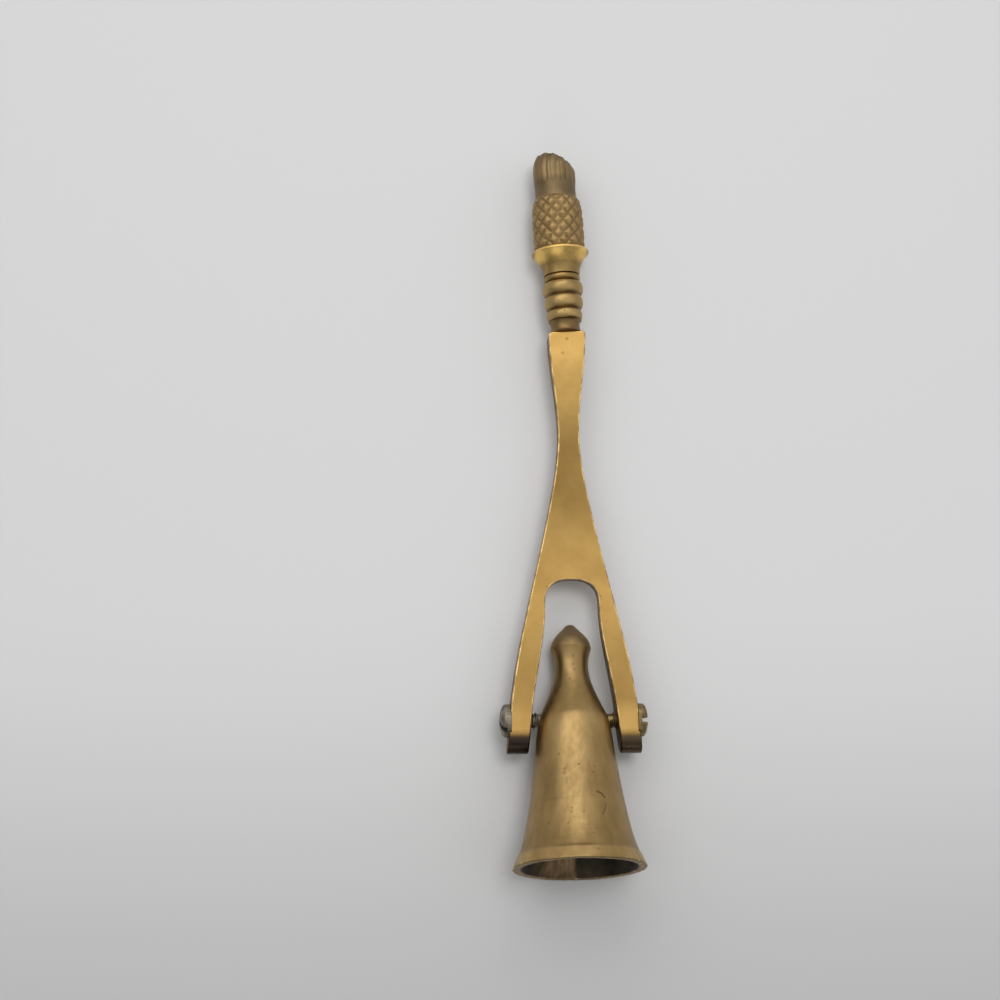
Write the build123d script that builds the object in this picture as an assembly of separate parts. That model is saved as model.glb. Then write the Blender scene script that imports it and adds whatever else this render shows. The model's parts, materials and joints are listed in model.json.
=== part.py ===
from build123d import *
import math
import os

# A hinged candle snuffer in brass, lying on a table. All lengths are in millimetres.
# Each piece is drawn in the handle's own frame: the hinge axis is X through the origin,
# Y runs up the handle to the finial, and Z is square to the flat face of the handle.

# Handle blade, seen from its flat side. Heights along the handle are counted from the hinge axis.
shoulder_height = 118.0
shoulder_half_width = 5.6
shoulder_corner_radius = 1.3
waist_height = 86.0
waist_half_width = 3.2
flank_height = 65.0
flank_half_width = 5.85
hip_height = 40.0
hip_half_width = 11.5

# Fork of the handle
crotch_height = 41.6
arch_half_width = 8.0
arch_rise = 7.6
arch_fullness = 0.7
arm_knee_height = 20.0
arm_knee_half_gap = 9.5
arm_half_gap = 12.7
arm_width = 6.3
arm_splay = 5.0
arm_end_reach = 9.6
arm_nose_length = 5.2

# Handle thickness, seen from its edge
shoulder_thickness = 7.2
waist_thickness = 4.6
blade_thickness = 4.0
arm_thickness = 8.0
arm_swell_height = 28.0
arm_swell_thickness = 4.8
blade_thin_height = 63.0
shoulder_flare = 0.1
blade_edge_radius = 0.35

# Finial, turned, with a plain tenon that sits in the end of the blade
tenon_radius = 2.0
tenon_length = 9.0
tenon_clearance = 0.03
cove_length = 4.0
cove_radius = 5.2
cove_depth = 0.6
bead_radii = (5.45, 5.95, 6.25)
bead_lengths = (3.2, 3.9, 3.9)
groove_depth = 0.8
groove_length = 0.5
ring_radius = 5.55
ring_length = 2.0
collar_length = 6.4
collar_radius = 8.9
collar_lip = 0.9
collar_foot_slope = 0.1
collar_lip_slope = 2.2
fruit_length = 15.5
fruit_base_radius = 7.2
fruit_radius = 7.5
fruit_top_radius = 6.7
fruit_neck_radius = 6.5
fruit_neck_length = 4.4
finial_lean = 3.0

# Raised bosses of the pineapple
boss_columns = 13
boss_rows = 7
boss_sphere_radius = 1.25
boss_rise = 0.5

# Crown of leaves on the pineapple
leaf_count = 10
leaf_radius = 1.6
leaf_ring_radius = 4.8
leaf_length = 11.5
leaf_slant = 3.0
leaf_rooting = 1.0
crown_core_radius = 4.8

# Bell, with its knob. Reaches along the bell are counted from the hinge axis to the mouth.
mouth_reach = 43.2
mouth_radius = 19.3
mouth_wall = 2.4
skirt_reach = 26.5
skirt_radius = 14.1
belly_reach = 9.0
belly_radius = 11.6
shoulder_reach = -0.4
bell_shoulder_radius = 10.2
bell_hinge_radius = 10.3
bell_wall = 2.4
cavity_top_reach = -6.0
neck_reach = -14.5
neck_radius = 5.05
knob_reach = -21.6
knob_radius = 6.0
cap_reach = -27.2
cap_radius = 3.3
tip_reach = -29.6

# Slopes of the bell's outline: radius gained per length towards the mouth
cap_slope = 0.9
knob_slope = 0.1
knob_undercut = 0.4
neck_slope = 0.42
shoulder_slope = 0.22
mouth_slope = 0.55

# Pivot screws
thread_radius = 2.4
thread_pitch = 1.058
thread_depth = 0.5
thread_clearance = 0.03
pin_clearance = 0.05
screw_bell_gap = 0.5
screw_tip_inset = 0.3
head_radius = 4.9
head_edge = 1.6
head_dome = 1.7
slot_width = 1.5
slot_depth = 2.2
seat_margin = 0.4
right_slot_turn = 0.0
left_slot_turn = -35.0

# Sizes that follow from those above
arm_outer_half = arm_half_gap + arm_width
splay_slope = math.tan(math.radians(arm_splay))
seat_half = arm_outer_half - splay_slope * (head_radius + seat_margin)
finial_top = shoulder_height + cove_length + sum(bead_lengths) + len(bead_lengths) * groove_length
ring_top = finial_top + ring_length
lip_height = ring_top + collar_length
fruit_bottom = lip_height + collar_lip
fruit_top = fruit_bottom + fruit_length
crown_bottom = fruit_top + fruit_neck_length
pin_radius = thread_radius - thread_depth
bell_slope = (belly_radius - bell_hinge_radius) / belly_reach
thread_end = bell_hinge_radius + bell_slope * thread_radius + screw_bell_gap
pin_tip = bell_hinge_radius - bell_wall + screw_tip_inset


def handle_outline():
    """Half of the flat outline, on the side of +X, closed along the middle of the blade."""
    corner_start = (shoulder_half_width - shoulder_corner_radius, shoulder_height)
    corner_end = (shoulder_half_width, shoulder_height - shoulder_corner_radius)
    end_outer = (arm_outer_half + splay_slope * arm_end_reach, -arm_end_reach)
    end_inner = (arm_half_gap + splay_slope * arm_end_reach, -arm_end_reach)
    arch_end = (arch_half_width, crotch_height - arch_rise)
    top = Line((0, shoulder_height), corner_start)
    corner = TangentArc(corner_start, corner_end, tangent=(1, 0))
    outer = Spline(
        corner_end,
        (waist_half_width, waist_height),
        (flank_half_width, flank_height),
        (hip_half_width, hip_height),
        (arm_outer_half, 0),
        tangents=[(0, -1), (splay_slope, -1)],
    )
    outer_end = Line((arm_outer_half, 0), end_outer)
    end = Line(end_outer, end_inner)
    inner_end = Line(end_inner, (arm_half_gap, 0))
    inner = Spline(
        (arm_half_gap, 0),
        (arm_knee_half_gap, arm_knee_height),
        arch_end,
        tangents=[(-splay_slope, 1), (0, 1)],
    )
    arch = Bezier(
        arch_end,
        (arch_half_width, crotch_height - arch_rise * (1 - arch_fullness)),
        (arch_half_width * arch_fullness, crotch_height),
        (0, crotch_height),
    )
    middle = Line((0, crotch_height), (0, shoulder_height))
    return make_face([top, corner, outer, outer_end, end, inner_end, inner, arch, middle])


def handle_edge_profile():
    """Half of the handle's edge view, with Y along the handle and the half thickness across."""
    nose_foot = arm_nose_length - arm_end_reach
    round_start = (nose_foot, arm_thickness / 2)
    round_end = (-arm_end_reach, 0)
    swell = Spline(
        (0, arm_thickness / 2),
        (arm_swell_height, arm_swell_thickness / 2),
        (blade_thin_height, blade_thickness / 2),
        (waist_height, waist_thickness / 2),
        (shoulder_height, shoulder_thickness / 2),
        tangents=[(1, 0), (1, shoulder_flare)],
    )
    flat = Line(round_start, (0, arm_thickness / 2))
    nose = EllipticalCenterArc((nose_foot, 0), arm_nose_length, arm_thickness / 2, start_angle=90, arc_size=90)
    top = Line((shoulder_height, shoulder_thickness / 2), (shoulder_height, 0))
    middle = Line((shoulder_height, 0), round_end)
    return make_face([nose, flat, swell, top, middle])


def forked_handle():
    """The flat blade that widens into a fork, with tapped arms and a socket for the finial."""
    depth = arm_thickness + shoulder_thickness
    width = 2 * (arm_outer_half + arm_end_reach)
    half = extrude(handle_outline(), amount=depth, both=True)
    slab = half + mirror(half, about=Plane.YZ)
    edge_view = Plane(origin=(0, 0, 0), x_dir=(0, 1, 0), z_dir=(1, 0, 0))
    front = extrude(edge_view * handle_edge_profile(), amount=width, both=True)
    body = slab & (front + mirror(front, about=Plane.XY))
    body = fillet(long_edges(body), blade_edge_radius)
    socket_radius = tenon_radius + tenon_clearance
    socket_middle = shoulder_height - (tenon_length + tenon_clearance) / 2
    socket = Rot(90, 0, 0) * Cylinder(socket_radius, tenon_length + tenon_clearance)
    body -= leaned(Pos(0, socket_middle, 0) * socket)
    over_seat = Box(width, shoulder_thickness, 2 * depth)
    body -= leaned(Pos(0, shoulder_height + shoulder_thickness / 2, 0) * over_seat)
    body -= Rot(0, 90, 0) * Cylinder(thread_radius + thread_clearance, width)
    for side in (-1, 1):
        seat = Rot(0, 90, 0) * Cylinder(head_radius + seat_margin, arm_end_reach)
        body -= Pos(side * (seat_half + arm_end_reach / 2), 0, 0) * seat
    return body


def long_edges(body):
    """The edges of the handle that run along its flat faces, which are broken by a small radius."""
    faces = body.faces().filter_by(lambda face: abs(face.normal_at().Z) > 0.9)
    return ShapeList(edge for face in faces for edge in face.edges() if edge.length > arm_end_reach)


def leaned(shape):
    """A shape on the finial's own axis, which leans to one side about a corner of the blade's end."""
    corner = Pos(shoulder_half_width, shoulder_height, 0)
    return corner * Rot(0, 0, finial_lean) * corner.inverse() * shape


def chain(points):
    """Straight edges from each point to the next."""
    return [Line(start, end) for start, end in zip(points, points[1:])]


def foot_edges():
    """Outline of the tenon and of the cove above it, as radius and height."""
    tenon_end = shoulder_height - tenon_length
    points = [(0, tenon_end), (tenon_radius, tenon_end), (tenon_radius, shoulder_height)]
    points.append((cove_radius, shoulder_height))
    cove_middle = (cove_radius - cove_depth, shoulder_height + cove_length / 2)
    cove_top = (bead_radii[0] - groove_depth, shoulder_height + cove_length)
    return chain(points) + [ThreePointArc(points[-1], cove_middle, cove_top)]


def bead_edges():
    """Outline of the round beads, one above another, with a narrow groove over each."""
    edges = []
    height = shoulder_height + cove_length
    for number, (radius, length) in enumerate(zip(bead_radii, bead_lengths)):
        root = radius - groove_depth
        next_root = bead_radii[number + 1] - groove_depth if number + 1 < len(bead_radii) else ring_radius
        top = height + length
        edges.append(ThreePointArc((root, height), (radius, height + length / 2), (root, top)))
        height = top + groove_length
        edges += chain([(root, top), (root, height), (next_root, height)])
    return edges


def collar_edges():
    """Outline of the plain ring, the hollow flare of the collar and its thin lip."""
    ring_head = (ring_radius, ring_top)
    lip_foot = (collar_radius, lip_height)
    flare = Spline(ring_head, lip_foot, tangents=[(collar_foot_slope, 1), (collar_lip_slope, 1)])
    lip = chain([lip_foot, (collar_radius, fruit_bottom), (fruit_base_radius, fruit_bottom)])
    return chain([(ring_radius, finial_top), ring_head]) + [flare] + lip


def fruit_edges():
    """Outline of the swelling fruit and the plain neck under its leaves, closed down the axis."""
    foot = (fruit_base_radius, fruit_bottom)
    head = (fruit_top_radius, fruit_top)
    swell = ThreePointArc(foot, (fruit_radius, (fruit_bottom + fruit_top) / 2), head)
    neck = chain([head, (fruit_neck_radius, crown_bottom), (0, crown_bottom)])
    return [swell] + neck + [Line((0, crown_bottom), (0, shoulder_height - tenon_length))]


def finial():
    """The turned pineapple: tenon, cove, beads, collar, fruit with bosses, and a crown of leaves."""
    outline = make_face(foot_edges() + bead_edges() + collar_edges() + fruit_edges())
    return revolve(outline, Axis.Y) + bosses() + leaves()


def bosses():
    """Low round bosses on the fruit, in staggered rows."""
    solids = []
    row_step = fruit_length / boss_rows
    for row in range(boss_rows):
        height = fruit_bottom + row_step * (row + 0.5)
        along = 2 * (row + 0.5) / boss_rows - 1
        end_radius = fruit_base_radius if along < 0 else fruit_top_radius
        skin = fruit_radius - (fruit_radius - end_radius) * along**2
        for column in range(boss_columns):
            turn = 360 * (column + row % 2 / 2) / boss_columns
            ball = Pos(skin + boss_rise - boss_sphere_radius, height, 0) * Sphere(boss_sphere_radius)
            solids.append(Rot(0, turn, 0) * ball)
    return solids


def leaf(length):
    """One upright leaf: a round stem with a rounded tip."""
    side = (leaf_radius, length - leaf_radius)
    tip = TangentArc(side, (0, length), tangent=(0, 1))
    return revolve(make_face(chain([(0, length), (0, 0), (leaf_radius, 0), side]) + [tip]), Axis.Y)


def leaves():
    """Upright leaves in a ring round a core, taller on one side than on the other."""
    root = crown_bottom - leaf_rooting
    core_length = leaf_rooting + leaf_length - leaf_slant - leaf_radius
    solids = [Pos(0, root + core_length / 2, 0) * Rot(90, 0, 0) * Cylinder(crown_core_radius, core_length)]
    for number in range(leaf_count):
        turn = 360 * number / leaf_count
        slant = leaf_slant * (1 + math.cos(math.radians(turn))) / 2
        upright = leaf(leaf_rooting + leaf_length - slant)
        solids.append(Rot(0, turn, 0) * Pos(leaf_ring_radius, root, 0) * upright)
    return solids


def thread_turns():
    """How many whole turns of thread fit between the bell and the seat of the head."""
    return int((seat_half - thread_end) / thread_pitch)


def pivot_screw(slot_turn):
    """A slotted round-head screw along +X, its plain point running in the wall of the bell."""
    points = [(pin_tip, 0), (pin_tip, pin_radius), (thread_end, pin_radius)]
    for turn in range(thread_turns()):
        crest = thread_end + thread_pitch * (turn + 0.5)
        points += [(crest, thread_radius), (crest + thread_pitch / 2, pin_radius)]
    points += [(seat_half, pin_radius), (seat_half, head_radius), (seat_half + head_edge, head_radius)]
    crown = (seat_half + head_edge + head_dome, 0)
    dome = TangentArc(crown, points[-1], tangent=(0, 1))
    body = revolve(make_face(chain(points) + [dome, Line(crown, points[0])]), Axis.X)
    slot = Box(2 * slot_depth, slot_width, 4 * head_radius)
    return body - Pos(crown[0], 0, 0) * Rot(slot_turn, 0, 0) * slot


def on_bell(radius, reach):
    """A point of the bell's outline: the bell hangs along -Y from the hinge axis."""
    return (radius, -reach)


def bell():
    """The bell and its knob, turned in one, hollow from the mouth up, with two pivot holes."""
    tip = on_bell(0, tip_reach)
    cap = on_bell(cap_radius, cap_reach)
    knob = on_bell(knob_radius, knob_reach)
    shoulder = on_bell(bell_shoulder_radius, shoulder_reach)
    mouth = on_bell(mouth_radius, mouth_reach)
    mouth_inner = on_bell(mouth_radius - mouth_wall, mouth_reach)
    cavity_top = on_bell(0, cavity_top_reach)
    edges = [TangentArc(tip, cap, tangent=(1, 0))]
    edges.append(
        Spline(
            cap,
            knob,
            tangents=[(cap_slope, -1), (knob_slope, -1)],
        )
    )
    edges.append(
        Spline(
            knob,
            on_bell(neck_radius, neck_reach),
            shoulder,
            tangents=[(-knob_undercut, -1), (neck_slope, -1)],
        )
    )
    edges.append(
        Spline(
            shoulder,
            on_bell(bell_hinge_radius, 0),
            on_bell(belly_radius, belly_reach),
            on_bell(skirt_radius, skirt_reach),
            mouth,
            tangents=[(shoulder_slope, -1), (mouth_slope, -1)],
        )
    )
    edges.append(Line(mouth, mouth_inner))
    edges.append(
        Spline(
            mouth_inner,
            on_bell(skirt_radius - bell_wall, skirt_reach),
            on_bell(belly_radius - bell_wall, belly_reach),
            on_bell(bell_hinge_radius - bell_wall, 0),
            cavity_top,
            tangents=[(-mouth_slope, 1), (-1, 0)],
        )
    )
    edges.append(Line(cavity_top, tip))
    body = revolve(make_face(edges), Axis.Y)
    bore = Rot(0, 90, 0) * Cylinder(pin_radius + pin_clearance, 4 * bell_hinge_radius)
    return body - bore


def pieces_in_handle_frame():
    """Every piece where it sits when the bell hangs straight out of the fork."""
    return {
        "forked_handle": forked_handle(),
        "pineapple_finial": leaned(finial()),
        "right_pivot_screw": pivot_screw(right_slot_turn),
        "left_pivot_screw": Rot(0, 0, 180) * pivot_screw(left_slot_turn),
        "bell": bell(),
    }


def lie_on_table(pieces):
    """The bell lies on its rim and its knob, and the handle on its collar."""
    bell_tilt = math.degrees(math.atan((mouth_radius - knob_radius) / (mouth_reach - knob_reach)))
    tilted_bell = Rot(-bell_tilt, 0, 0) * pieces["bell"]
    hinge_height = -tilted_bell.bounding_box().min.Z
    collar_distance = math.hypot(fruit_bottom, collar_radius)
    collar_angle = math.atan2(collar_radius, fruit_bottom)
    handle_tilt = math.degrees(math.asin(hinge_height / collar_distance) - collar_angle)
    placed = {name: Rot(-handle_tilt, 0, 0) * piece for name, piece in pieces.items()}
    placed["bell"] = tilted_bell
    box = Compound(list(placed.values())).bounding_box()
    move = Pos(-(box.min.X + box.max.X) / 2, -(box.min.Y + box.max.Y) / 2, -box.min.Z)
    print("hinge axis at", [round(value, 4) for value in move.position])
    print("bell tilt", round(bell_tilt, 4), "handle tilt", round(handle_tilt, 4))
    print("size", [round(value, 3) for value in box.size])
    return {name: move * piece for name, piece in placed.items()}


def main():
    os.makedirs("parts", exist_ok=True)
    for name, piece in lie_on_table(pieces_in_handle_frame()).items():
        export_step(piece, f"parts/{name}.step")


main()
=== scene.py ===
# %% [markdown]
# # A brass candle snuffer
# A snuffer puts a candle out without blowing: its small bell covers the flame until the air is
# used up. This one is three castings and two screws. A flat handle ends in a fork, a turned
# pineapple closes its top, and the bell hangs between the prongs on the two screws.

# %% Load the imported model
import json
import math

import bmesh
import bpy
from mathutils import Matrix, Vector, noise


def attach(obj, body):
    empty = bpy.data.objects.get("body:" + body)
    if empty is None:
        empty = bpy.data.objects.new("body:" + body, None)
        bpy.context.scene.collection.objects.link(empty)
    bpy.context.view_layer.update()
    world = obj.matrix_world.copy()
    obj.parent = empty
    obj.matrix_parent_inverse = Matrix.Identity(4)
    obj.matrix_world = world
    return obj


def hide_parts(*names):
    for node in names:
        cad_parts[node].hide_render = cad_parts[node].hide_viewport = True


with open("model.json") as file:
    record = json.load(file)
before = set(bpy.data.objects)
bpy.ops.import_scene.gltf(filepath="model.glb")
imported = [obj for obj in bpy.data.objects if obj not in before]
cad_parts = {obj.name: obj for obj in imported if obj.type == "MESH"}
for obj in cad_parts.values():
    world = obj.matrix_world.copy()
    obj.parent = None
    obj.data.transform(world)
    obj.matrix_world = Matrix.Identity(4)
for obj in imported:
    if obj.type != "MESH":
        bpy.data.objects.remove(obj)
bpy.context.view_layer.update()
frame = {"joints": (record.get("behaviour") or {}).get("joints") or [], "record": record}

# %% [markdown]
# ## Three benches
# Each piece is easiest to make on a bench of its own, in millimetres, with the hinge at the
# origin, Y toward the pineapple and Z up from the flat face. The bell has the same bench before
# it swings, with its mouth toward minus Y. The pineapple's bench leans a little to the left,
# because the top was set slightly askew. A matrix carries each bench to the table.

# %% Place the benches on the table
millimetre = 0.001
hinge = Vector(frame["joints"][0]["pos_m"])
mouth_axis = Vector(frame["record"]["mounts"][0]["axis"])
bell_tilt = math.atan2(mouth_axis.z, -mouth_axis.y)
handle_tilt = math.radians(0.5461)
shoulder_height = 118.0
shoulder_half_width = 5.6
pineapple_lean = math.radians(3)


def bench(tilt):
    """The matrix from a bench in millimetres to the table in metres."""
    turned = Matrix.Translation(hinge) @ Matrix.Rotation(-tilt, 4, "X")
    return turned @ Matrix.Scale(millimetre, 4)


handle_bench = bench(handle_tilt)
bell_bench = bench(bell_tilt)
corner = Matrix.Translation((shoulder_half_width, shoulder_height, 0))
pineapple_bench = handle_bench @ corner @ Matrix.Rotation(pineapple_lean, 4, "Z") @ corner.inverted()
print("bell tilt", round(math.degrees(bell_tilt), 2), "handle tilt", round(math.degrees(handle_tilt), 2))

# %% [markdown]
# ## Tools of the bench
# A smooth outline is a row of knots: a place along the piece, a width there, and the slope of
# the line as it passes. One small function reads the width anywhere between the knots, and
# another is the lathe: it spins an outline round the Y axis.

# %% Outlines


def width_at(knots, along):
    """Width of a smooth outline at a place along it; each knot is (along, width, slope)."""
    for (a0, w0, s0), (a1, w1, s1) in zip(knots, knots[1:]):
        if along <= a1 or a1 == knots[-1][0]:
            span = a1 - a0
            t = (along - a0) / span
            start = w0 * (1 + 2 * t) * (1 - t) ** 2 + w1 * t * t * (3 - 2 * t)
            bend = s0 * t * (1 - t) ** 2 + s1 * t * t * (t - 1)
            return start + bend * span


def even(start, end, steps):
    """Evenly spaced places from start to end, both included."""
    return [start + (end - start) * i / steps for i in range(steps + 1)]


def swept(knots, steps):
    """Points (width, along) on a smooth outline, evenly spaced between its ends."""
    return [(width_at(knots, a), a) for a in even(knots[0][0], knots[-1][0], steps)]


def rounded(start, corner, end, steps):
    """Points on a quarter of an oval from start to end, drawn toward a corner, without its start."""
    points = []
    for t in even(0, math.pi / 2, steps)[1:]:
        run, rise = 1 - math.cos(t), math.sin(t)
        x = start[0] + (corner[0] - start[0]) * rise + (end[0] - corner[0]) * run
        y = start[1] + (corner[1] - start[1]) * rise + (end[1] - corner[1]) * run
        points.append((x, y))
    return points


def bulge(bottom, top, foot, radius, steps):
    """Half an oval standing out from a foot radius, or cut into it."""
    middle, reach = (bottom + top) / 2, (top - bottom) / 2
    turns = even(0, math.pi, steps)
    return [(foot + (radius - foot) * math.sin(t), middle - reach * math.cos(t)) for t in turns]


# %% Lathe, cutter and table


def lathe(outline, steps):
    """A turned mesh: points (radius, height) spun once round the Y axis."""
    bm = bmesh.new()
    verts = [bm.verts.new((radius, height, 0)) for radius, height in outline]
    edges = [bm.edges.new(pair) for pair in zip(verts, verts[1:])]
    bmesh.ops.spin(bm, geom=verts + edges, cent=(0, 0, 0), axis=(0, 1, 0),
                   angle=2 * math.pi, steps=steps, use_merge=True)
    bmesh.ops.remove_doubles(bm, verts=bm.verts, dist=0.0005)
    bmesh.ops.recalc_face_normals(bm, faces=bm.faces)
    return bm


def as_object(name, bm):
    """An object with this mesh, which is used up."""
    mesh = bpy.data.meshes.new(name)
    bm.to_mesh(mesh)
    bm.free()
    item = bpy.data.objects.new(name, mesh)
    bpy.context.scene.collection.objects.link(item)
    return item


def cut_away(bm, cutter):
    """The first mesh less the second, both used up."""
    work, tool = as_object("work", bm), as_object("tool", cutter)
    cut = work.modifiers.new("cut", "BOOLEAN")
    cut.object = tool
    cut.solver = "EXACT"
    result = bmesh.new()
    result.from_object(work, bpy.context.evaluated_depsgraph_get())
    for item in (work, tool):
        bpy.data.objects.remove(item)
    return result


def rod(bm, radius, start, end, steps):
    """Add a round rod along X to a mesh, as wide as a drill."""
    place = Matrix.Translation(((start + end) / 2, 0, 0)) @ Matrix.Rotation(math.pi / 2, 4, "Y")
    bmesh.ops.create_cone(bm, cap_ends=True, segments=steps, radius1=radius, radius2=radius,
                          depth=abs(end - start), matrix=place)


def to_table(name, bm, place, body, node, materials, crease):
    """Carry a mesh to the table to stand for a node; edges bent past the crease angle stay sharp."""
    bmesh.ops.transform(bm, matrix=place, verts=bm.verts)
    piece = as_object(name, bm)
    mesh = piece.data
    mesh.shade_smooth()
    mesh.set_sharp_from_angle(angle=math.radians(crease))
    for material in materials:
        mesh.materials.append(material)
    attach(piece, body)
    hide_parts(node)
    print(name, len(mesh.polygons), "faces,", [round(d * 1000, 1) for d in piece.dimensions], "mm")
    return piece


def unevenness(place, waves):
    """Smooth bumps; each wave is (depth, size): how far and over how many millimetres."""
    return sum(depth * noise.noise(Vector(place) / size) for depth, size in waves)


# %% [markdown]
# ## A painter of metal
# Metal has no colour of its own in the dark: it tints what it mirrors. So a finish is a tint, a
# roughness, and marks that vary both. The painter below lays its patterns out in millimetres on
# the bench of the piece, so that a scratch or a pit has a real size.

# %% Painter


class Finish:
    """A metal finish whose patterns are laid out in millimetres on the bench of its piece."""

    def __init__(self, name, place):
        self.material = bpy.data.materials.new(name)
        self.material.use_nodes = True
        self.tree = self.material.node_tree
        self.shader = self.tree.nodes["Principled BSDF"]
        self.shader.inputs["Metallic"].default_value = 1.0
        spot, turn, scale = place.decompose()
        inputs = {"Vector": self.add("ShaderNodeTexCoord", {}, "Object")}
        inputs.update({"Location": spot, "Rotation": turn.to_euler(), "Scale": scale})
        self.bench = self.add("ShaderNodeMapping", inputs, "Vector", vector_type="TEXTURE")

    def add(self, kind, inputs, output, **settings):
        """A new node with these inputs, each a value or a link; returns one of its outputs."""
        node = self.tree.nodes.new(kind)
        for key, value in settings.items():
            setattr(node, key, value)
        for key, value in inputs.items():
            if isinstance(value, bpy.types.NodeSocket):
                self.tree.links.new(value, node.inputs[key])
            else:
                node.inputs[key].default_value = value
        return node.outputs[output]

    def math(self, operation, a, b=0.0):
        """A sum, product or the like of two values."""
        return self.add("ShaderNodeMath", {0: a, 1: b}, "Value", operation=operation)

    def vector(self, operation, a, b, output="Vector"):
        """The same for places; a distance comes out as a single value."""
        return self.add("ShaderNodeVectorMath", {0: a, 1: b}, output, operation=operation)

    def mix(self, share, a, b, blend="MIX"):
        """Tint a with this share of tint b."""
        tints = {0: share, 6: a, 7: b}
        return self.add("ShaderNodeMix", tints, 2, data_type="RGBA", blend_type=blend)

    def part(self, value, share):
        """This share of a value."""
        return self.math("MULTIPLY", value, share)

    def between(self, value, low, high, shape="SMOOTHSTEP"):
        """0 at low, 1 at high."""
        inputs = {"Value": value, "From Min": low, "From Max": high}
        return self.add("ShaderNodeMapRange", inputs, "Result", interpolation_type=shape)

    def along(self, axis):
        """The place along one axis of the bench, in millimetres."""
        return self.add("ShaderNodeSeparateXYZ", {"Vector": self.bench}, axis)

    def noise(self, size, detail=3.0, stretch=(1, 1, 1)):
        """Cloudy noise between 0 and 1, with clouds of about this size in millimetres."""
        where = self.vector("MULTIPLY", self.bench, stretch)
        inputs = {"Vector": where, "Scale": 1 / size, "Detail": detail}
        return self.add("ShaderNodeTexNoise", inputs, "Fac")

    def ramp(self, value, stops):
        """Blend through stops of (place, tone) as value goes from 0 to 1; a tone is a grey or a tint."""
        node = self.tree.nodes.new("ShaderNodeValToRGB")
        self.tree.links.new(value, node.inputs["Fac"])
        marks = node.color_ramp.elements
        for number, (place, tone) in enumerate(stops):
            mark = marks[0] if number == 0 else marks.new(place)
            mark.position = place
            mark.color = (*tone, 1) if isinstance(tone, tuple) else (tone, tone, tone, 1)
        marks.remove(marks[-1])
        return node.outputs["Color"]

    def pits(self, spacing, size, bare):
        """Small round pits, 1 inside a pit; the bare share of the surface has none."""
        inputs = {"Vector": self.bench, "Scale": 1 / spacing}
        dots = self.add("ShaderNodeTexVoronoi", inputs, "Distance")
        here = self.between(self.noise(spacing * 4), bare, bare + 0.06)
        return self.part(self.between(dots, size / spacing, size / spacing / 3), here)

    def spots(self, marks, radius):
        """Single dents or stains at these places on the bench."""
        total = 0.0
        for place in marks:
            away = self.vector("DISTANCE", self.bench, place, "Value")
            total = self.math("MAXIMUM", total, self.between(away, radius, radius / 3))
        return total

    def scratch(self, points, width):
        """A scored line through these places on the bench."""
        total = 0.0
        for start, end in zip(points, points[1:]):
            run = Vector(end) - Vector(start)
            from_start = self.vector("SUBTRACT", self.bench, start)
            share = self.vector("DOT_PRODUCT", from_start, run / run.length_squared, "Value")
            share = self.between(share, 0.0, 1.0, "LINEAR")
            inputs = {0: run, "Scale": share}
            foot = self.add("ShaderNodeVectorMath", inputs, "Vector", operation="SCALE")
            away = self.vector("DISTANCE", from_start, foot, "Value")
            total = self.math("MAXIMUM", total, self.between(away, width, width / 3))
        return total

    def done(self, colour, roughness, height, depth):
        """Join a colour, a roughness and a relief of this depth in millimetres to the metal."""
        inputs = {"Height": height, "Distance": depth * millimetre}
        relief = self.add("ShaderNodeBump", inputs, "Normal")
        for name, value in (("Base Color", colour), ("Roughness", roughness), ("Normal", relief)):
            self.tree.links.new(value, self.shader.inputs[name])
        return self.material


# %% [markdown]
# ## Finish of the handle
# The handle was polished, and has since worn in brown patches. Up its length it is painted
# lighter and darker, a painted light and shade for how its gently curved faces mirror the room:
# brown at the waist, bright at the top. Fine scratches run along it, and the filed edges shine
# because they rub on everything. The narrow sides were never polished and are dark.

# %% Polished brass
handle_low, handle_high = -10.0, 118.0
# Heights up the handle and how bright the brass is painted there: painted light and shade that
# stands in for how the gently curved faces mirror the room.
painted_face_light = [(-9.6, 0.07), (-5.6, 0.08), (-4.2, 0.40), (-2.6, 0.80), (1.8, 0.74), (6, 0.57),
            (12, 0.58), (18, 0.60), (24, 0.62), (30, 0.70), (37, 0.80), (45, 0.70), (52, 0.69),
            (58, 0.58), (64, 0.50), (70, 0.43), (76, 0.47), (82, 0.42), (88, 0.48), (94, 0.64),
            (100, 0.73), (106, 0.79), (111, 1.0), (117, 1.0)]
dents = [(-0.1, 115.2, 3.5), (-1.4, 110.8, 3.3), (-10.6, 46.1, 2.2), (-7.1, 39.2, 2.3),
         (8.3, 36.5, 2.3)]
# The rounded ends of the prongs are made dark, the left one most.
nose_start = (-3.6, -5.4)
left_to_right = (-5.0, 5.0)
left_nose_tint = (0.055, 0.040, 0.030, 1)
right_nose_tint = (0.105, 0.072, 0.044, 1)
scratch_tint = (0.34, 0.20, 0.06, 1)
pit_tint = (0.16, 0.09, 0.03, 1)


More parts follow.
